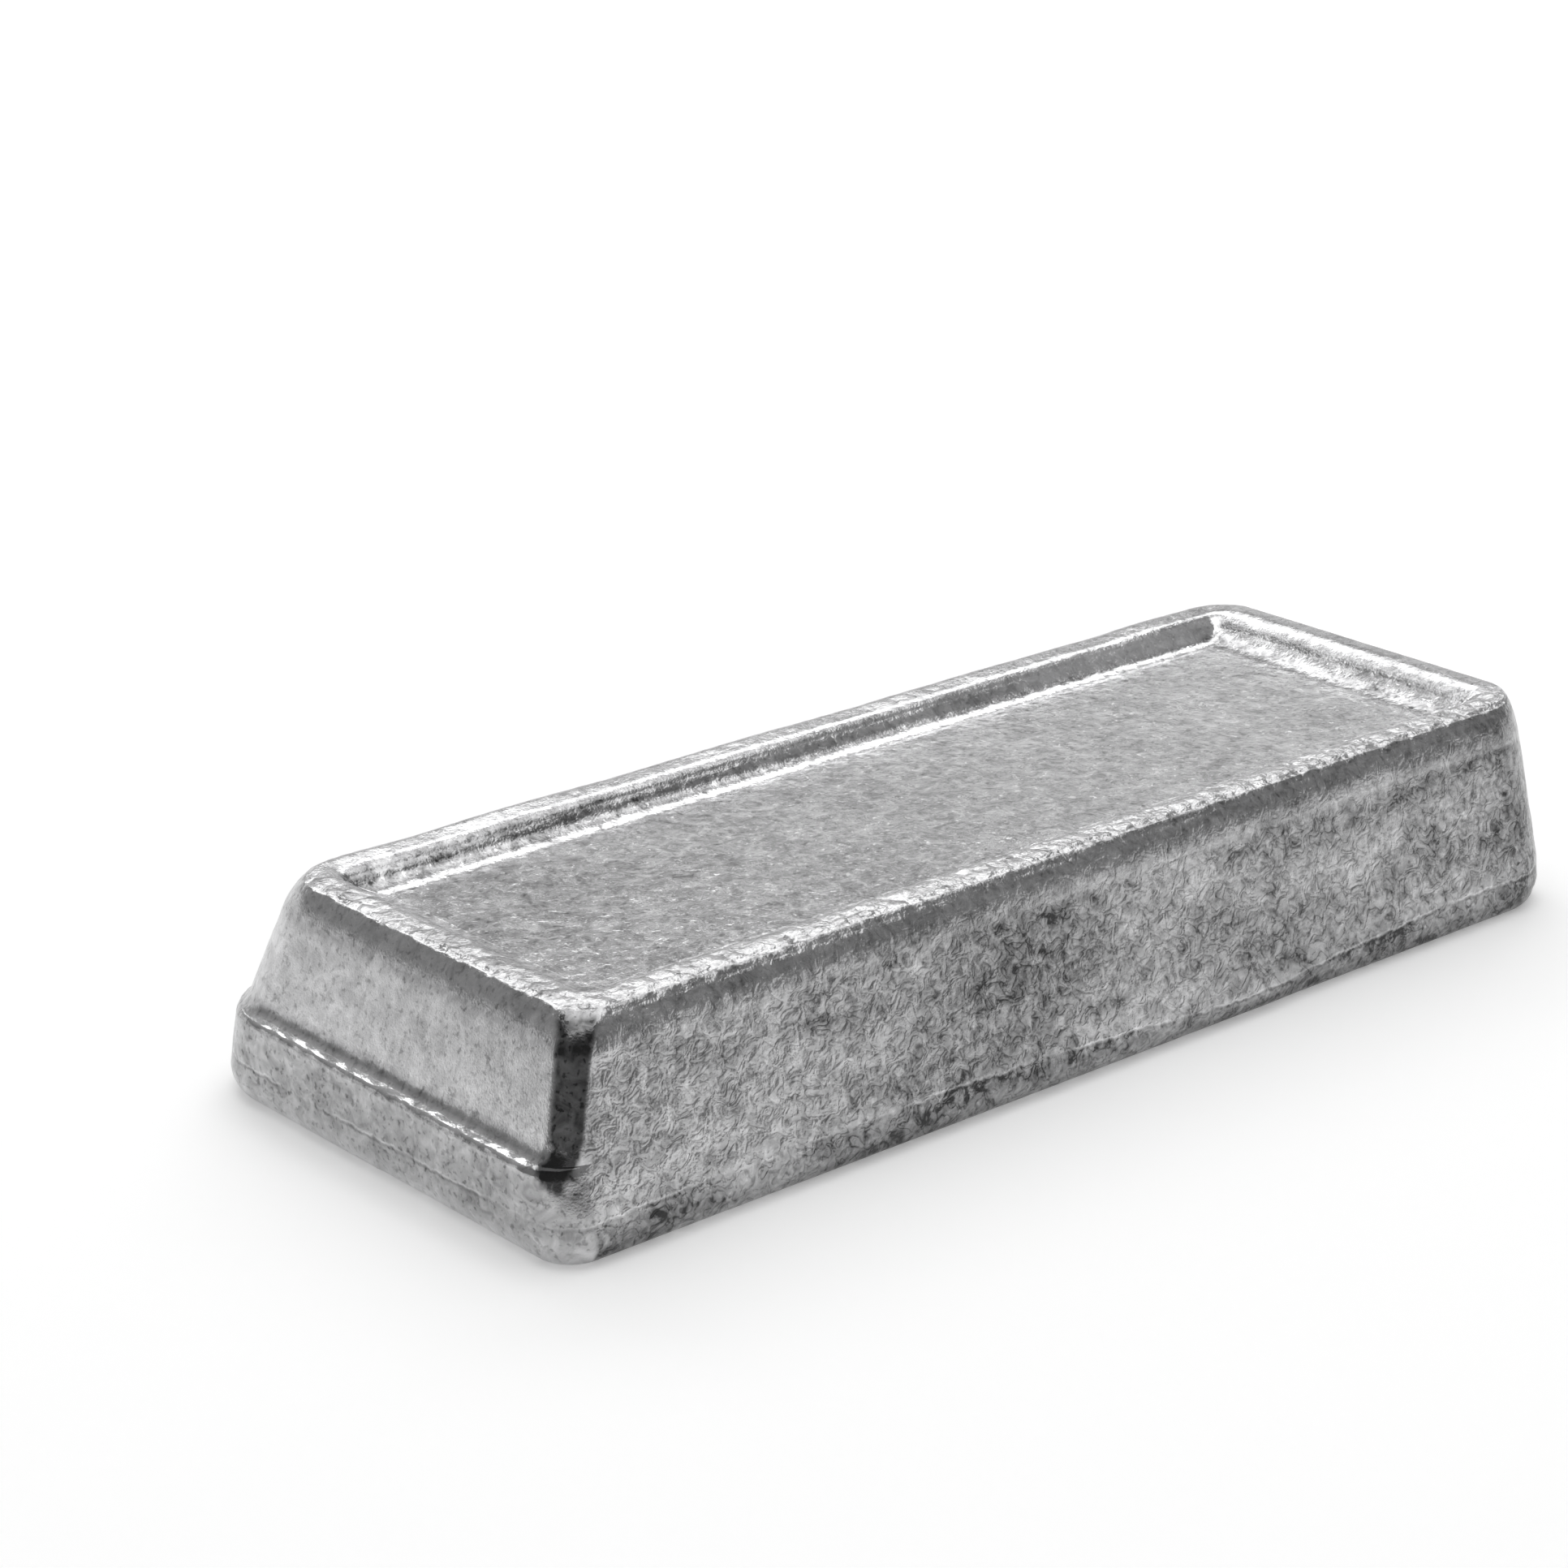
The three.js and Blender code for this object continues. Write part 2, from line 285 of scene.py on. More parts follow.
def build_skin(rows):
    """Points and faces of the skin, and how many points its rings, floor and base have."""
    rings = np.array([ring(row.outline) for row in rows])
    numbers = np.arange(rings.size // 3).reshape(rings.shape[:2])
    ring_faces = quads(np.column_stack([numbers, numbers[:, 0]]))
    floor, floor_faces = recess_floor(rings[-1], numbers[-1], numbers.size)
    base, base_faces = pouring_face(rings[0], numbers.size + len(floor))
    points = [rings.reshape(-1, 3), floor, base]
    counts = [len(part) for part in points]
    return counts, np.concatenate(points), ring_faces + floor_faces + base_faces


# ------------------------------------------------------------------------------- zones
# How much of each treatment the zones of the skin take; the rest take none
OUTER = {"pour": 1, "face": 1, "ledge": 1, "flare": 1, "wall": 1, "shoulder": 0.6, "verge": 0.3}
RIM = {"shoulder": 0.05, "verge": 0.35, "crest": 1, "lip": 0.8, "inner": 0.25}
TOP = {"shoulder": 0.5, "verge": 0.8, "crest": 1, "lip": 1, "inner": 0.5}
INSIDE = {"inner": 1, "lip": 0.4}
INNER_WALL = {"inner": 1, "lip": 1}
LEDGE = {"ledge": 1, "flare": 0.35}
# Zones that take the painted highlight along the lug's crest
HIGHLIGHT_LINE_ZONES = {"ledge": 1, "flare": 1}
# Zones that take the painted shade in the near corner
CORNER_SHADE_ZONES = dict.fromkeys(("face", "ledge", "flare", "wall", "shoulder", "verge", "crest"), 1)
# How blistered the rim is on each side, and how plain the lap is
BLISTERED_SIDES = {"near": 1, "lug": 0.8, "far": 0.12, "plain": 0.1}
LAPPED_SIDES = {"near": 1, "lug": 1, "plain": 0.3}
CORNER_SMOOTHING = 30  # how quickly the worms of the near side stop at its corner


def side_shares(outline):
    """How much each column of a ring belongs to the near, far, lug and plain side."""
    step = np.roll(outline, -1, 0) - np.roll(outline, 1, 0)
    out = np.stack([step[:, 1], -step[:, 0]], 1) / np.hypot(step[:, 0], step[:, 1])[:, None]
    x, y = out.T
    facing = {"near": -y, "far": y, "lug": -x, "plain": x}
    return {side: np.clip(share, 0, 1) ** 2 for side, share in facing.items()}


def zone_weights(rows, counts):
    """How much of each treatment every point takes."""
    shares = side_shares(ring(rows[len(rows) // 2].outline)[:, :2])
    near_corner = shares["near"] * shares["lug"]
    long_side = (shares["near"] + shares["far"]) * (1 - np.clip(CORNER_SMOOTHING * near_corner, 0, 1))

    def mixed(table):
        return sum(shares[side] * amount for side, amount in table.items())

    def spread(table, columns):
        per_row = np.array([table.get(row.zone, 0) for row in rows], float)
        rings = per_row[:, None] * columns[None]
        return np.concatenate([rings.ravel(), np.zeros(sum(counts) - rings.size)])

    weights = {
        "long_side": spread(OUTER, long_side),
        "end": spread(OUTER, 1 - long_side),
        "rim": spread(RIM, mixed(BLISTERED_SIDES)),
        "recess": spread(INSIDE, np.ones_like(long_side)),
        "ledge": spread(LEDGE, shares["lug"]),
        "far_rim": spread(TOP, shares["far"]),
        "painted_highlights": spread(HIGHLIGHT_LINE_ZONES, shares["lug"] ** 2),
        "far_wall": spread(INNER_WALL, shares["far"]),
        "corner": spread(CORNER_SHADE_ZONES, 4 * near_corner),  # 1 in the middle of the corner
        "lap": spread(OUTER, mixed(LAPPED_SIDES)),
    }
    ring_points, floor_points, _ = counts
    weights["recess"][ring_points:ring_points + floor_points] = 1
    return weights


# ------------------------------------------------------------------------------- marks
# The lap: a level line near the foot where the first metal set before the rest rose over it
LAP_HEIGHT, LAP_STEP = 7.8, 0.06
LAP_DIP, LAP_DIP_X, LAP_DIP_REACH = 3.3, 33.0, 34.0  # it sinks towards the foot of one side
LAP_WAVE, LAP_WAVE_LENGTH, LAP_SEED = 0.5, 30, 12
# Painted shade: darker patches on the near long side: places, reaches in mm, and strength
ShadePatch = namedtuple("ShadePatch", "x z reach_x reach_z strength")
PAINTED_SHADE_PATCHES = ShadePatch(-20, 26, 17, 9, 0.85), ShadePatch(-112, 31, 8, 5, 0.6)
# Painted shade in the near corner: a tongue down the lug, the ledge's end, the corner, under the rim
CORNER_SHADE_Z = 11, 12.5, 16.8, 17.4, 19.4, 20, 35.9, 36.6, 38.2, 38.9, 39.5, 39.9
CORNER_SHADE = 0, 2.7, 2.7, 3.0, 3.0, 2.1, 2.1, 2.7, 2.7, 1.2, 0.7, 0
CORNER_SHADE_EDGE = 4  # how sharp its edges are
CORNER_SHADE_WAIST, CORNER_SHADE_WAIST_TOP = 0.45, 21  # how much narrower it is from the lug's crest down
TONGUE_TAPER = 0.42  # what it loses for each mm below the crest
# The far inner wall has painted shade near the lug and painted light near the plain end
FAR_WALL_X, FAR_WALL_SHADE_AND_LIGHT = (-60, 10, 60, 95), (0.9, 0.1, -0.3, -0.6)
FAR_WALL_Z, FAR_WALL_SHARE = (36.2, 36.8, 39.2, 39.6), (0, 1, 1, 0)
# Painted highlight: a bright line along the crest of the lug
HIGHLIGHT_LINE_Z, HIGHLIGHT_LINE_HALF = LUG_HEIGHT + 0.05, 0.85
HIGHLIGHT_LINE_STOP = 2  # how soon it stops at the painted shade in the corner

NOISE_CELL = 0.6  # a noise cell's share of the wave's length
SEED_SHIFT = 7.31  # cells from one seed's noise to the next one's


def waves(points, length, seed):
    """Smooth noise from about -1 to 1, with waves of about the given length in mm."""
    cells = points / (NOISE_CELL * length) + SEED_SHIFT * seed
    return np.array([noise.noise(cell) for cell in cells.tolist()])


def above_lap(points):
    """Height above the lap line, in mm."""
    x, y, z = points.T
    dip = LAP_DIP * np.exp(-(((x - LAP_DIP_X) / LAP_DIP_REACH) ** 2)) * (y < 0)
    return z - LAP_HEIGHT + dip - LAP_WAVE * waves(points * (1, 1, 0), LAP_WAVE_LENGTH, LAP_SEED)


def painted_shade_patches(points):
    """Strength of the painted shade patches."""
    x, y, z = points.T
    total = np.zeros(len(points))
    for shade_patch in PAINTED_SHADE_PATCHES:
        off_x, off_z = (x - shade_patch.x) / shade_patch.reach_x, (z - shade_patch.z) / shade_patch.reach_z
        total += shade_patch.strength * np.exp(-(off_x**2) - off_z**2)
    return total * (y < 0)


def painted_corner_shade(points, weights):
    """Painted shade in the near corner, narrowing to a tip below the crest of the lug."""
    z = points[:, 2]
    narrow = weights["corner"] - np.interp(z, (LUG_HEIGHT, CORNER_SHADE_WAIST_TOP), (CORNER_SHADE_WAIST, 0))
    tongue = np.clip(CORNER_SHADE_EDGE * narrow - TONGUE_TAPER * np.clip(LUG_HEIGHT - z, 0, None), 0, 1)
    return tongue * np.interp(z, CORNER_SHADE_Z, CORNER_SHADE)


def far_wall_painted_light(points, weights):
    """Painted shade on the far inner wall, and its painted light, below 0."""
    x, _, z = points.T
    up = np.interp(z, FAR_WALL_Z, FAR_WALL_SHARE)
    return weights["far_wall"] * np.interp(x, FAR_WALL_X, FAR_WALL_SHADE_AND_LIGHT) * up


def painted_highlight_line(points, weights):
    """Painted highlight along the crest of the lug, which ends at the painted shade in the corner."""
    unshaded = 1 - np.clip(HIGHLIGHT_LINE_STOP * weights["corner"], 0, 1)
    off = np.abs(points[:, 2] - HIGHLIGHT_LINE_Z)
    return unshaded * weights["painted_highlights"] * np.clip(1 - off / HIGHLIGHT_LINE_HALF, 0, 1)


def painted_light_tint(points, weights):
    """All the painted shade, less the painted highlights."""
    painted_shade = painted_shade_patches(points) + painted_corner_shade(points, weights) + far_wall_painted_light(points, weights)
    return painted_shade - painted_highlight_line(points, weights)


# ------------------------------------------------------------------------------ relief
# The far rim's crest leans inwards, and its fillet gets sharper towards the plain end
FAR_CREST_LEAN = 0.2
FAR_FILLET_X, FAR_FILLET_CUT = (-50, 20), (0.1, 0.4)
# Where the poured edge is drawn in: near the lug, and past a kink towards the plain end.
# It is drawn in all over its own height, and less and less up to twice that height.
EDGE_X, EDGE_SUNK = (-90, -53, -15, 40, 48), (0.35, 0.2, 0.0, 0.0, 0.6)
RELIEF_EASE = 2.0  # the relief grows over this height from the floor and from the recess floor


def swell(points, length, seed):
    """Smooth noise from about 0 to 1."""
    return 0.5 + 0.5 * waves(points, length, seed)


def blisters(points, length, seed):
    """Rounded bumps between narrow creases: 0 on the bumps, 1 in the creases."""
    return np.clip(1 - 2 * np.abs(waves(points, length, seed)), 0, 1)


# Unevenness: which points take it, how deep it is, its form, and the length of its waves in mm
Unevenness = namedtuple("Unevenness", "zone depth form length seed")
UNEVENNESS = (
    Unevenness("all", 0.18, swell, 45, 1),
    Unevenness("long_side", 0.26, swell, 9, 2),
    Unevenness("long_side", 0.22, swell, 3.6, 3),
    Unevenness("end", 0.05, swell, 12, 4),
    Unevenness("end", 0.05, swell, 4, 5),
    Unevenness("upper_rim", 0.20, swell, 18, 6),
    Unevenness("upper_rim", 0.34, blisters, 6, 7),
    Unevenness("upper_rim", 0.18, blisters, 3, 8),
    Unevenness("upper_far_rim", 0.60, swell, 28, 13),
    Unevenness("ledge", 0.25, blisters, 4, 9),
    Unevenness("recess", 0.12, swell, 14, 10),
    Unevenness("recess", 0.04, swell, 4, 11),
)


def far_rim_shape(points):
    """Lean of the far crest, and the cut that sharpens its fillet, in mm."""
    x, y, z = points.T
    crest_half_width = wall(SHOULDER_FOOT).half_width - RIM_SHOULDER_RUN_SIDE
    rise = z - RECESS_FLOOR
    across = np.clip((crest_half_width - y) / RIM_CREST_WIDTH, 0, 1)
    lean = FAR_CREST_LEAN * across * np.clip(rise / RECESS_DEPTH, 0, 1)
    fillet_top = RECESS_FLOOR_FILLET * (1 - cos(RECESS_WALL_SLOPE))
    turn = np.arccos(1 - np.clip(rise, 0, fillet_top) / RECESS_FLOOR_FILLET) / RECESS_WALL_SLOPE
    return lean + 4 * turn * (1 - turn) * np.interp(x, FAR_FILLET_X, FAR_FILLET_CUT)


def relief(points, weights):
    """How far each point is sunk below the smooth skin, in mm."""
    x, y, z = points.T
    upper = np.clip((z - RECESS_FLOOR) / RELIEF_EASE, 0, 1)
    shares = weights | {
        "all": np.ones(len(points)),
        "upper_rim": weights["rim"] * upper,
        "upper_far_rim": weights["far_rim"] * upper,
    }
    sunk = np.zeros(len(points))
    for item in UNEVENNESS:
        sunk += shares[item.zone] * item.depth * item.form(points, item.length, item.seed)
    sunk += weights["far_rim"] * far_rim_shape(points)
    sunk += weights["lap"] * LAP_STEP * np.clip(-above_lap(points), 0, 1)
    sunk += np.interp(x, EDGE_X, EDGE_SUNK) * np.clip(2 - z / POUR_EDGE_RISE, 0, 1) * (y < 0)
    return sunk * np.clip(z / RELIEF_EASE, 0, 1)


# ------------------------------------------------------------------------ shader nodes
# A noise: waves per mm, detail, distortion and roughness
Pattern = namedtuple("Pattern", "scale detail distortion roughness", defaults=(2.0, 0.0, 0.5))


class Graph:
    """Adds shader nodes, and links or sets their inputs."""

    def __init__(self, tree):
        self.tree = tree

    def fill(self, socket, value):
        if isinstance(value, bpy.types.NodeSocket):
            self.tree.links.new(value, socket)
        elif value is not None:
            socket.default_value = value

    def fill_named(self, node, inputs):
        for name, value in inputs.items():
            self.fill(node.inputs[name], value)
        return node

    def named(self, kind, inputs):
        """A new node with its inputs filled by name."""
        return self.fill_named(self.tree.nodes.new(kind), inputs)

    def add(self, kind, *inputs, out=0, **settings):
        """An output of a new node with its inputs filled in order."""
        node = self.tree.nodes.new(kind)
        for key, value in settings.items():
            setattr(node, key, value)
        for socket, value in zip(node.inputs, inputs):
            self.fill(socket, value)
        return node.outputs[out]

    def math(self, operation, a, b=None):
        return self.add("ShaderNodeMath", a, b, operation=operation)

    def plus(self, *terms):
        total = terms[0]
        for term in terms[1:]:
            total = self.math("ADD", total, term)
        return total

    def times(self, *factors):
        product = factors[0]
        for factor in factors[1:]:
            product = self.math("MULTIPLY", product, factor)
        return product

    def parts(self, vector):
        """The three numbers of a vector socket."""
        split = self.tree.nodes.new("ShaderNodeSeparateXYZ")
        self.fill(split.inputs[0], vector)
        return split.outputs

    def attribute(self, name):
        return self.add("ShaderNodeAttribute", attribute_name=name, out=1)

    def coordinates(self, kind):
        return self.tree.nodes.new("ShaderNodeTexCoord").outputs[kind]

    def ramp(self, value, low, high, to_low, to_high):
        """Level up to low and from high on, and straight between them."""
        inputs = {"Value": value, "From Min": low, "From Max": high, "To Min": to_low, "To Max": to_high}
        return self.named("ShaderNodeMapRange", inputs).outputs[0]

    def blend(self, share, none, full):
        """A number that goes from one value to another as a share goes from 0 to 1."""
        return self.ramp(share, 0.0, 1.0, none, full)

    def band(self, value, middle, half_width):
        """1 where a value is at the middle, falling to 0 at each side."""
        off = self.math("ABSOLUTE", self.plus(value, -middle))
        return self.ramp(off, 0.0, half_width, 1.0, 0.0)

    def noise(self, vector, pattern):
        """Noise about 0, from -1 to 1."""
        inputs = {
            "Vector": vector,
            "Scale": pattern.scale,
            "Detail": pattern.detail,
            "Distortion": pattern.distortion,
            "Roughness": pattern.roughness,
        }
        node = self.named("ShaderNodeTexNoise", inputs)
        return self.plus(self.times(node.outputs[0], 2.0), -1.0)

    def spots(self, vector, pattern, start, full):
        """Scattered spots: 1 where the noise is over full, 0 where it is under start."""
        return self.ramp(self.noise(vector, pattern), start, full, 0.0, 1.0)

    def bend(self, vector, scale, amount):
        """The vector pushed about by noise, by up to about the given amount in mm."""
        node = self.named("ShaderNodeTexNoise", {"Vector": vector, "Scale": scale})
        push = (2 * amount,) * 3
        return self.add("ShaderNodeVectorMath", node.outputs[1], push, vector, operation="MULTIPLY_ADD")


# ------------------------------------------------------------------------------ finish
METAL_TONE, DARKEST_TONE, BLUE_SHARE = 0.52, 0.05, 1.01
METAL_ROUGHNESS, WORN_ROUGHER, SIDE_ROUGHER, RECESS_ROUGHER = 0.18, 0.08, 0.05, -0.04

WORMS, CREASE_WIDTH = Pattern(0.34, 2.0, 0.8), 0.10
GRAIN = Pattern(2.2, 3.0)
DIMPLES = Pattern(0.42)
MOTTLE = Pattern(0.28, 4.0, 1.0, 0.58)
STAINS = Pattern(0.11, 4.0)
STREAKS, STREAK_STRETCH = Pattern(0.11, 4.0, 0.5), (0.3, 0.6, 1.0)
CLOUDS = Pattern(0.045, 3.0, 0.5)
WEAR = Pattern(0.2, 3.0)
LAP_WANDER, LAP_WANDER_HEIGHT = Pattern(0.35, 3.0), 0.9
LAP_DASHES, LAP_BREAKS = Pattern(0.07), (-0.2, 0.1, 0.25, 1.0)  # noise from and to, and share
# Spots: their noise, and where it starts and is full
SPECKS = Pattern(0.9), 0.14, 0.36
# Flecks and glints are painted glints
GLINT_FLECKS = Pattern(0.8, 2.0, 1.0), 0.22, 0.42
GLINTS = Pattern(0.7, 2.0, 0.6), 0.30, 0.38
# Cells of the rim's pits and of the walls' patchwork, per mm, and how far they are bent, mm
PIT_SCALE, PATCHWORK_SCALE, BEND_SCALE, BEND_AMOUNT = 0.34, 0.6, 0.35, 1.5

# Heights of the finest relief, mm
SIDE_WORMS, SIDE_GRAIN, END_GRAIN = 0.28, 0.035, 0.02
RIM_DOMES, RIM_GRAIN, LAP_LIP = 0.5, 0.05, 0.03
RECESS_DIMPLES = 35.6, 36.4, 0.07, 0.03  # z from and to, mm, and their height there

# Where zones start and end, mm
INNER_WALL_FOOT, CREST_FOOT = (36.0, 36.6), (39.4, 39.9)
SHOULDER_FOOT_BAND, SHOULDER_TOP_BAND, FILLET_FOOT_BAND = (34.6, 1.8), (39.1, 1.1), (35.87, 0.5)
LAP_LIP_BAND, LAP_SEAM_BAND, BELOW_LAP = (0.2, 0.35), (-0.4, 0.5), (-1.5, 0.5)
# How much the inner walls and the rim share in what roughens the long sides
INNER_WALL_SHARE, RIM_SHARE = 0.25, 0.6

# What the patterns add to the tone: on the smooth ends, and on the long sides. The flecks are painted
# glints, the lap's lip a painted highlight, and the part below the lap painted shade
MOTTLE_TONES, PATCHWORK_TONES = (0.30, 0.34), (0.05, 0.12)
SPECK_TONES, GLINT_FLECK_TONES = (-0.17, -0.08), (0.03, 0.10)
LAP_LIP_HIGHLIGHT_TONES, BELOW_LAP_SHADE_TONES = (0.16, 0.20), (-0.02, -0.13)
# The crease tone is painted shade in the creases, and the glint tone painted glints in the recess
STAIN_TONE, STREAK_TONE, CREASE_SHADE_TONE, CLOUD_TONE, GLINT_TONE = 0.10, 0.28, -0.16, 0.20, 0.32
RECESS_MOTTLE = -60.0, 60.0, 0.26, 0.156  # x from and to, mm, and the tone there
# Painted highlights along the lug's crest and on the far inner wall, and painted shade in the lap's seam
PAINTED_HIGHLIGHT_TONES, LAP_SEAM_SHADE_TONE = (0.45, 0.60), -0.14
# Painted shade that a whole zone adds: darker long sides, a dark band high on their shoulders, a dark
# foot of the recess fillet, and the marks' painted shade
ZONE_TONES = {"long_side": -0.07, "shoulder_top": -0.40, "fillet_foot": -0.11, "painted_shade": -0.16}
# Painted light and shade along a zone: the axis, from and to in mm, and the tone before and after
Shade = namedtuple("Shade", "zone axis start end before after")
SHADES = (
    # Long sides: a little painted light near the lug end, painted shade from there on, and more at the
    # plain end
    Shade("long_side", "x", -100.0, -60.0, 0.02, -0.06),
    Shade("long_side", "x", 98.0, 112.0, 0.0, -0.14),
    # Ends: painted light on the poured edge, painted shade below the ledge and a little painted light
    # above it
    Shade("end", "z", 2.0, 6.0, 0.22, 0.0),
    Shade("end", "z", 14.0, 20.0, -0.14, 0.03),
    # Ends: painted shade at the foot of the shoulder and on the crest, towards the lug end
    Shade("end_shoulder_foot", "x", -108.0, -100.0, -0.12, 0.0),
    Shade("end_crest", "x", -113.0, -106.0, -0.30, 0.0),
    # Recess: painted shade at its lug end, painted light towards the plain end, painted shade on its
    # floor and inner walls at the plain end
    Shade("recess", "x", -101.0, -98.0, -0.10, 0.0),
    Shade("recess", "x", -90.0, 40.0, 0.02, 0.13),
    Shade("recess_floor", "x", 105.5, 108.0, 0.0, -0.27),
    Shade("inner_walls", "x", 103.0, 107.0, -0.05, -0.20),
)


def places(graph):
    """Sockets by name: the shaded point's place in mm, and how much it is in each zone."""
    vector = graph.add(
        "ShaderNodeVectorMath", graph.coordinates("Object"), (1 / MM,) * 3, operation="MULTIPLY"
    )
    x, _, z = graph.parts(vector)
    long_side, rim, recess_share = graph.parts(graph.attribute("zones"))
    above, lap, marks = graph.parts(graph.attribute("marks"))
    end = graph.plus(1.0, graph.times(long_side, -1.0), graph.times(recess_share, -1.0))
    inner_walls = graph.times(recess_share, graph.ramp(z, *INNER_WALL_FOOT, 0.0, 1.0))
    walls = graph.math("MAXIMUM", long_side, graph.times(inner_walls, INNER_WALL_SHARE))
    return {
        "vector": vector,
        "x": x,
        "z": z,
        "above_lap": above,
        "lap": lap,
        "long_side": long_side,
        "shoulder_top": graph.times(long_side, graph.band(z, *SHOULDER_TOP_BAND)),
        "rim": rim,
        "end": end,
        "end_crest": graph.times(end, graph.ramp(z, *CREST_FOOT, 0.0, 1.0)),
        "end_shoulder_foot": graph.times(end, graph.band(z, *SHOULDER_FOOT_BAND)),
        "recess": recess_share,
        "recess_floor": graph.times(recess_share, graph.ramp(z, *INNER_WALL_FOOT, 1.0, 0.0)),
        "fillet_foot": graph.times(recess_share, graph.band(z, *FILLET_FOOT_BAND)),
        "inner_walls": inner_walls,
        "walls": walls,
        "rough": graph.math("MAXIMUM", walls, graph.times(rim, RIM_SHARE)),
        # Painted shade and painted highlights, from the third number of the marks
        "painted_shade": graph.math("MAXIMUM", marks, 0.0),
        "painted_highlights": graph.math("MAXIMUM", graph.times(marks, -1.0), 0.0),
    }


def shared_patterns(graph, at):
    """Patterns that both the relief and the tone use: worms, flecks of painted glints, cells and the
    lap.
    """
    vector = at["vector"]
    wander = graph.times(graph.noise(vector, LAP_WANDER), LAP_WANDER_HEIGHT)
    line = graph.plus(at["above_lap"], wander)
    dashes = graph.times(at["lap"], graph.ramp(graph.noise(vector, LAP_DASHES), *LAP_BREAKS))
    return {
        "worms": graph.math("ABSOLUTE", graph.noise(vector, WORMS)),
        "glint_flecks": graph.spots(vector, *GLINT_FLECKS),
        "bent": graph.bend(vector, BEND_SCALE, BEND_AMOUNT),
        "lap_lip": graph.times(graph.band(line, *LAP_LIP_BAND), dashes),
        "lap_seam": graph.times(graph.band(line, *LAP_SEAM_BAND), dashes),
    }


def fine_relief(graph, at):
    """Height of the finest relief, in mm."""
    grain = graph.noise(at["vector"], GRAIN)
    pits = graph.named("ShaderNodeTexVoronoi", {"Vector": at["bent"], "Scale": PIT_SCALE})
    domes = graph.times(pits.outputs["Distance"], pits.outputs["Distance"], -1.0)
    dimples = graph.times(graph.noise(at["vector"], DIMPLES), at["recess"])
    return graph.plus(
        graph.times(at["worms"], at["walls"], SIDE_WORMS),
        graph.times(grain, graph.blend(at["long_side"], END_GRAIN, SIDE_GRAIN)),
        graph.times(domes, at["rim"], RIM_DOMES),
        graph.times(grain, at["rim"], RIM_GRAIN),
        graph.times(dimples, graph.ramp(at["z"], *RECESS_DIMPLES)),
        graph.times(at["lap_lip"], LAP_LIP),
        graph.times(at["lap_seam"], -LAP_LIP),
    )


def pattern_tones(graph, at):
    """What stains, streaks, clouds, mottling and specks add to the tone, with painted shade in the
    creases and painted glints.
    """
    vector, long_side, recess_share = at["vector"], at["long_side"], at["recess"]
    along = graph.add("ShaderNodeVectorMath", vector, STREAK_STRETCH, operation="MULTIPLY")
    mottle = graph.noise(vector, MOTTLE)
    cells = graph.named("ShaderNodeTexVoronoi", {"Vector": at["bent"], "Scale": PATCHWORK_SCALE})
    patchwork = graph.plus(graph.parts(cells.outputs["Color"])[0], -0.5)
    creases = graph.ramp(at["worms"], 0.0, CREASE_WIDTH, 1.0, 0.0)
    return [
        graph.times(graph.noise(vector, STAINS), STAIN_TONE),
        graph.times(graph.noise(along, STREAKS), long_side, STREAK_TONE),
        graph.times(graph.noise(vector, CLOUDS), recess_share, CLOUD_TONE),
        graph.times(mottle, graph.blend(at["rough"], *MOTTLE_TONES)),
        graph.times(mottle, recess_share, graph.ramp(at["x"], *RECESS_MOTTLE)),
        graph.times(patchwork, graph.blend(long_side, *PATCHWORK_TONES)),
        graph.times(creases, at["walls"], CREASE_SHADE_TONE),
        graph.times(graph.spots(vector, *SPECKS), graph.blend(at["rough"], *SPECK_TONES)),
        graph.times(at["glint_flecks"], graph.blend(at["rough"], *GLINT_FLECK_TONES)),
        graph.times(graph.spots(vector, *GLINTS), recess_share, GLINT_TONE),
    ]


def mark_tones(graph, at):
    """What the painted highlights add to the tone, and the lap: a painted highlight on its lip, and
    painted shade in its seam and below it.
    """
    below = graph.ramp(at["above_lap"], *BELOW_LAP, 1.0, 0.0)
    return [
        graph.times(at["painted_highlights"], graph.blend(at["glint_flecks"], *PAINTED_HIGHLIGHT_TONES)),
        graph.times(at["lap_lip"], graph.blend(at["long_side"], *LAP_LIP_HIGHLIGHT_TONES)),
        graph.times(at["lap_seam"], LAP_SEAM_SHADE_TONE),
        graph.times(below, graph.blend(at["long_side"], *BELOW_LAP_SHADE_TONES)),
    ]


def zone_tones(graph, at):
    """Painted light and shade that each zone adds to the tone, all over it or along it."""
    tones = [graph.times(at[zone], tone) for zone, tone in ZONE_TONES.items()]
    for shade in SHADES:
        ramp = graph.ramp(at[shade.axis], shade.start, shade.end, shade.before, shade.after)
        tones.append(graph.times(at[shade.zone], ramp))
    return tones


def metal_roughness(graph, at):
    return graph.plus(
        METAL_ROUGHNESS,
        graph.times(graph.noise(at["vector"], WEAR), WORN_ROUGHER),
        graph.times(at["long_side"], SIDE_ROUGHER),
        graph.times(at["recess"], RECESS_ROUGHER),
    )


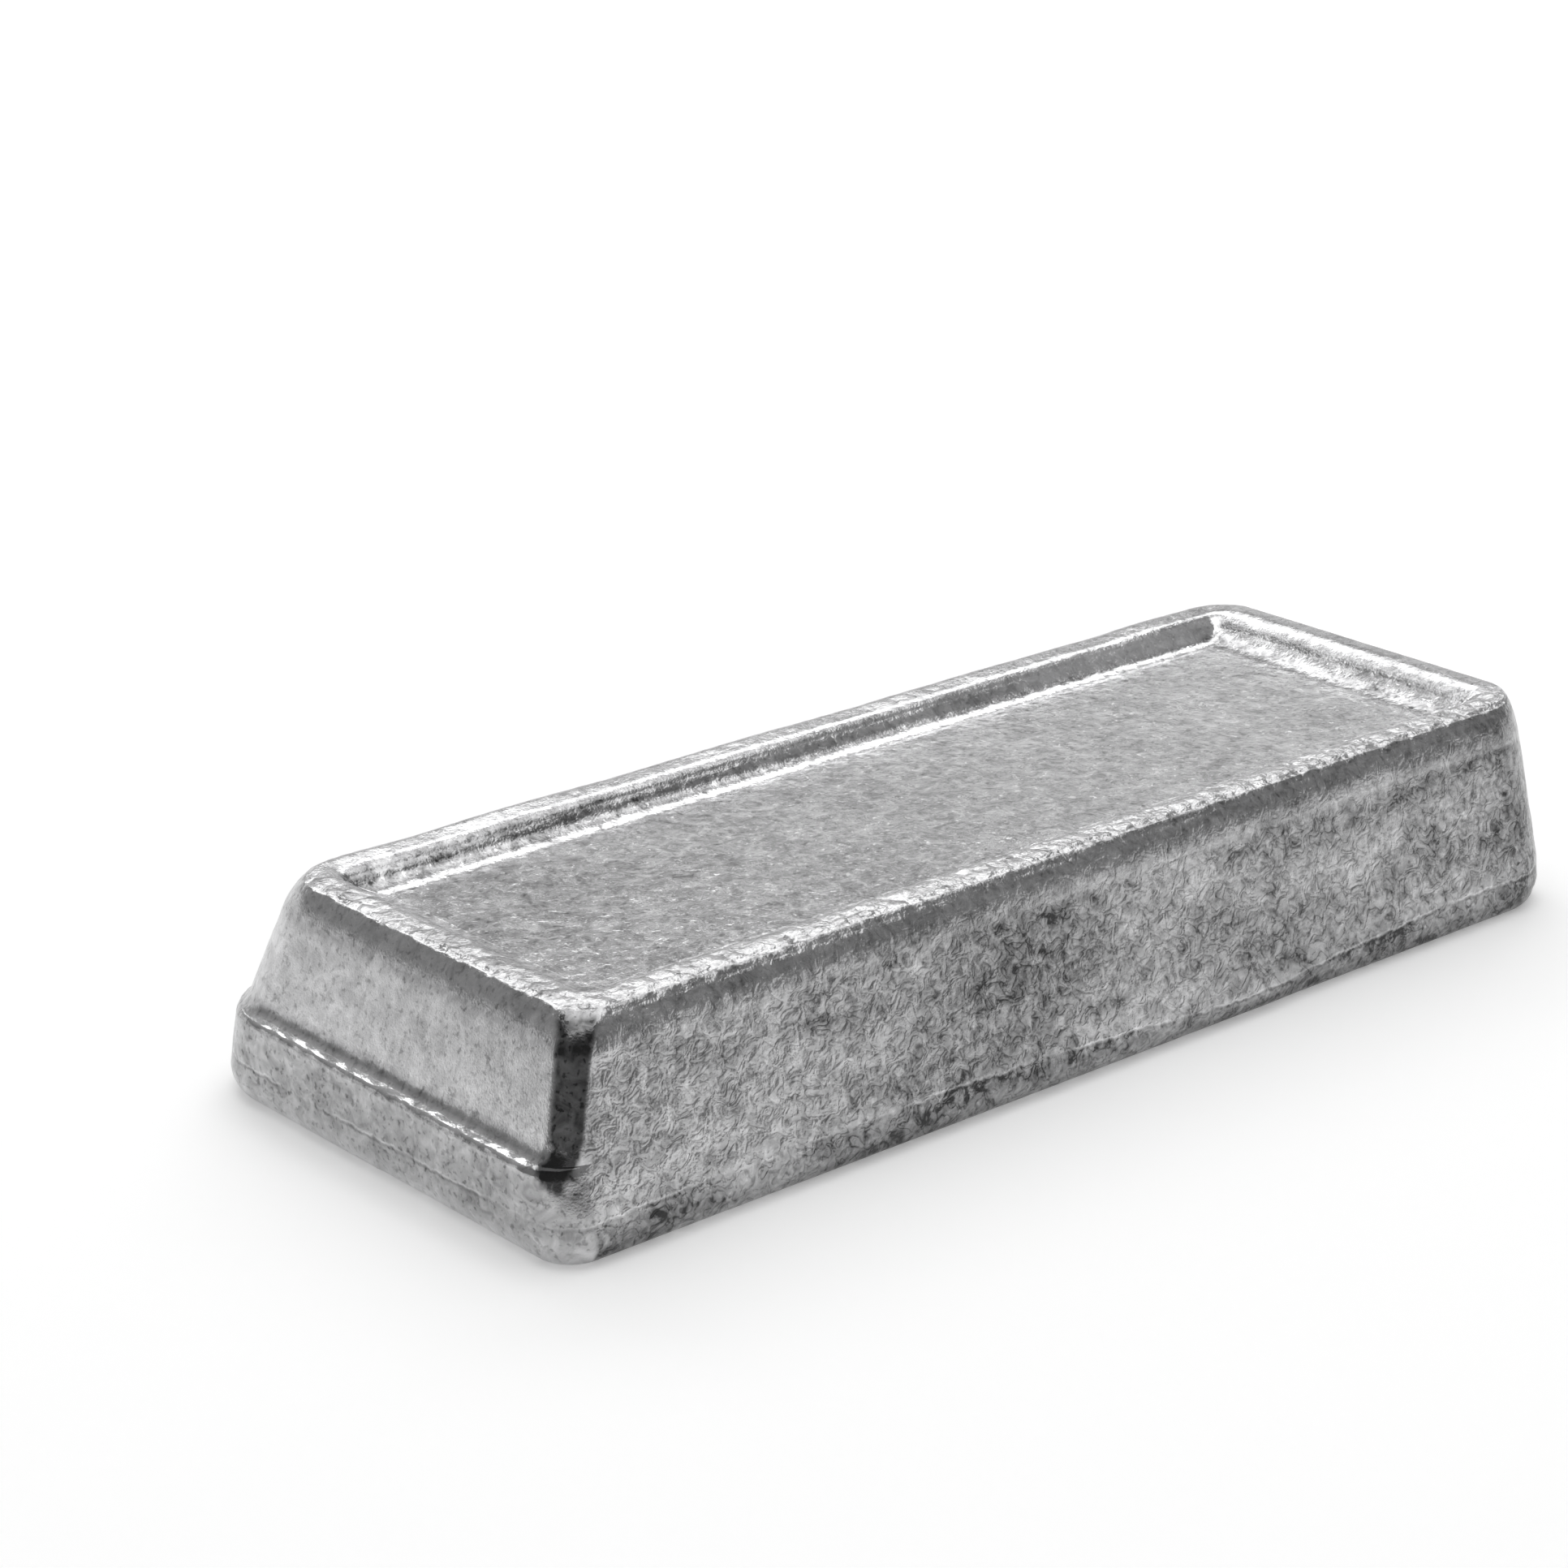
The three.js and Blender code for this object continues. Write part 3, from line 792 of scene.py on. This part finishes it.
def cast_metal():
    """Satin as-cast metal: wormy long sides, smoother ends and recess, a pitted rim."""
    material = bpy.data.materials.new("cast_metal")
    material.use_nodes = True
    graph = Graph(material.node_tree)
    at = places(graph)
    at |= shared_patterns(graph, at)
    added = [*pattern_tones(graph, at), *zone_tones(graph, at), *mark_tones(graph, at)]
    tone = graph.math("MAXIMUM", graph.plus(METAL_TONE, *added), DARKEST_TONE)
    colour = graph.add("ShaderNodeCombineColor", tone, tone, graph.times(tone, BLUE_SHARE))
    surface = {"Strength": 1.0, "Distance": MM, "Height": fine_relief(graph, at)}
    shader = {
        "Base Color": colour,
        "Metallic": 1.0,
        "Roughness": metal_roughness(graph, at),
        "Normal": graph.named("ShaderNodeBump", surface).outputs[0],
    }
    graph.fill_named(graph.tree.nodes["Principled BSDF"], shader)
    return material


# ----------------------------------------------------------------------------- casting
def press(mesh, points, weights):
    """Sink the mesh's points below the smooth skin by the relief."""
    normals = np.zeros(points.size, np.float32)
    mesh.vertex_normals.foreach_get("vector", normals)
    sunk = points - normals.reshape(-1, 3) * relief(points, weights)[:, None]
    mesh.vertices.foreach_set("co", (sunk * MM).astype(np.float32).ravel())


def store(mesh, name, *columns):
    """Keep three numbers for each point, for the material to read."""
    values = np.stack(columns, 1).astype(np.float32)
    mesh.attributes.new(name, "FLOAT_VECTOR", "POINT").data.foreach_set("vector", values.ravel())


def build_casting():
    """The whole casting: its skin, relief and material, in place of the part's one node."""
    rows = profile()
    counts, points, faces = build_skin(rows)
    weights = zone_weights(rows, counts)
    mesh = bpy.data.meshes.new("casting")
    mesh.from_pydata((points * MM).tolist(), [], faces)
    mesh.validate()
    mesh.shade_smooth()
    press(mesh, points, weights)
    store(mesh, "zones", weights["long_side"], weights["rim"], weights["recess"])
    # The third number is the painted shade, less the painted highlights
    store(mesh, "marks", above_lap(points), weights["lap"], painted_light_tint(points, weights))
    mesh.update()
    mesh.materials.append(cast_metal())
    casting = bpy.data.objects.new("casting", mesh)
    bpy.context.scene.collection.objects.link(casting)
    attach(casting, "root")
    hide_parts("ingot")


build_casting()

# ------------------------------------------------------------------------------ camera
IMAGE_SIDE, FOCAL_PIXELS = 1932, 5064.7
SENSOR = 36.0  # mm
HEADING, PITCH, ROLL = radians(-40.716), radians(20.24), radians(-0.272)
# Where the frame's origin lies from the camera, mm: ahead, to the right and up
AHEAD, ASIDE, UP = 767.97, 25.526, -37.022
CLIP_START = 0.01  # m


def set_camera():
    """Camera of the photograph, placed by its turn and by where the origin lies from it."""
    forward = Vector((-sin(HEADING) * cos(PITCH), cos(HEADING) * cos(PITCH), -sin(PITCH)))
    level = forward.cross(Vector((0, 0, 1))).normalized()
    upright = level.cross(forward)
    right = level * cos(ROLL) + upright * sin(ROLL)
    up = upright * cos(ROLL) - level * sin(ROLL)
    data = bpy.data.cameras.new("camera")
    data.sensor_width = SENSOR
    data.lens = SENSOR * FOCAL_PIXELS / IMAGE_SIDE
    data.clip_start = CLIP_START
    camera = bpy.data.objects.new("camera", data)
    bpy.context.scene.collection.objects.link(camera)
    place = -(forward * AHEAD + right * ASIDE + up * UP) * MM
    axes = Matrix((right, up, -forward)).transposed().to_4x4()
    camera.matrix_world = Matrix.Translation(place) @ axes
    bpy.context.scene.camera = camera


set_camera()

# --------------------------------------------------------------------------- studio, m
FLOOR_HALF, FLOOR_TONE, MATT_ROUGHNESS = 6.0, 0.95, 0.9
FLOOR_GLOW = 0.6, 2.5, 0.27, 0.56  # distances from the part, and the glow up to and past them
FLOOR_EDGE_FADE = 3.0, 5.5, 0.0, -0.085  # sinks to the tone of the pale band, so no edge shows
BACK = radians(50)  # direction of the bright side of the studio, anticlockwise from +X
PALE_GLOW, CEILING_GLOW = 0.8, 0.3
PALE_TOP, PALE_TOP_RISE = sin(radians(14.5)), 0.13  # the pale band is taller on the bright side
PALE_EDGE = 0.03
Lamp = namedtuple("Lamp", "name heading elevation distance width height radiance")
LAMPS = (
    Lamp("back_light", radians(55.5), radians(41), 2.0, 1.82, 0.66, 2.35),
    Lamp("top_light", radians(50), radians(86), 1.2, 1.3, 1.3, 1.35),
)
FLAG_START, FLAG_END, FLAG_STEPS = radians(143), radians(299), 24
FLAG_RADIUS, FLAG_FOOT, FLAG_TOP, FLAG_TONE = 1.2, 0.001, 2.0, 0.35


def matt(name, tone):
    """Plain matt grey."""
    material = bpy.data.materials.new(name)
    material.use_nodes = True
    bsdf = material.node_tree.nodes["Principled BSDF"]
    bsdf.inputs["Base Color"].default_value = (tone, tone, tone, 1)
    bsdf.inputs["Roughness"].default_value = MATT_ROUGHNESS
    return material


def paper():
    """Pale floor. Seen directly or in the metal it is lifted to white, but it sheds no light."""
    material = matt("paper", FLOOR_TONE)
    graph = Graph(material.node_tree)
    path = graph.tree.nodes.new("ShaderNodeLightPath")
    seen = graph.math("MAXIMUM", path.outputs["Is Camera Ray"], path.outputs["Is Glossy Ray"])
    seen = graph.math("MAXIMUM", seen, path.outputs["Is Transmission Ray"])
    away = graph.add("ShaderNodeVectorMath", graph.coordinates("Object"), out=1, operation="LENGTH")
    glow = graph.plus(graph.ramp(away, *FLOOR_GLOW), graph.ramp(away, *FLOOR_EDGE_FADE))
    emission = {"Emission Color": (1, 1, 1, 1), "Emission Strength": graph.times(seen, glow)}
    graph.fill_named(graph.tree.nodes["Principled BSDF"], emission)
    return material


def stage_piece(name, points, faces, material):
    mesh = bpy.data.meshes.new(name)
    mesh.from_pydata(points, [], faces)
    mesh.materials.append(material)
    piece = bpy.data.objects.new(name, mesh)
    bpy.context.scene.collection.objects.link(piece)
    return piece


def sky():
    """World: a pale band above the floor, taller behind the part, and a dimmer ceiling."""
    world = bpy.data.worlds.new("studio")
    bpy.context.scene.world = world
    world.use_nodes = True
    graph = Graph(world.node_tree)
    x, y, rise = graph.parts(graph.coordinates("Generated"))
    ahead = graph.plus(graph.times(x, cos(BACK)), graph.times(y, sin(BACK)))
    ahead = graph.math("MAXIMUM", ahead, 0.0)
    over = graph.plus(rise, graph.times(ahead, ahead, -PALE_TOP_RISE))
    glow = graph.ramp(over, PALE_TOP - PALE_EDGE, PALE_TOP + PALE_EDGE, PALE_GLOW, CEILING_GLOW)
    graph.fill(graph.tree.nodes["Background"].inputs["Color"], glow)


def softbox(lamp):
    """Area lamp that faces the part, at a heading anticlockwise from +X."""
    light = bpy.data.lights.new(lamp.name, "AREA")
    light.shape = "RECTANGLE"
    light.size, light.size_y = lamp.width, lamp.height
    light.energy = lamp.radiance * pi * lamp.width * lamp.height
    box = bpy.data.objects.new(lamp.name, light)
    box.visible_camera = False
    level = Vector((cos(lamp.heading), sin(lamp.heading), 0)) * cos(lamp.elevation)
    direction = level + Vector((0, 0, sin(lamp.elevation)))
    box.location = direction * lamp.distance
    box.rotation_euler = direction.to_track_quat("Z", "Y").to_euler()
    bpy.context.scene.collection.objects.link(box)


def flag():
    """Grey curved card on the camera's side of the part, for its near corner to mirror."""
    sweep = FLAG_END - FLAG_START
    bow = [FLAG_START + sweep * i / FLAG_STEPS for i in range(FLAG_STEPS + 1)]
    low = [(FLAG_RADIUS * cos(a), FLAG_RADIUS * sin(a), FLAG_FOOT) for a in bow]
    high = [(x, y, FLAG_TOP) for x, y, _ in low]
    above = len(low)
    faces = [(i, i + 1, above + i + 1, above + i) for i in range(FLAG_STEPS)]
    card = stage_piece("flag", low + high, faces, matt("flag", FLAG_TONE))
    card.visible_camera = False
    card.visible_shadow = False  # the floor behind it stays as pale as the rest


def build_studio():
    bpy.context.scene.view_settings.view_transform = "Standard"
    half = FLOOR_HALF
    corners = [(-half, -half, 0), (half, -half, 0), (half, half, 0), (-half, half, 0)]
    stage_piece("floor", corners, [(0, 1, 2, 3)], paper())
    sky()
    for lamp in LAMPS:
        softbox(lamp)
    flag()


build_studio()
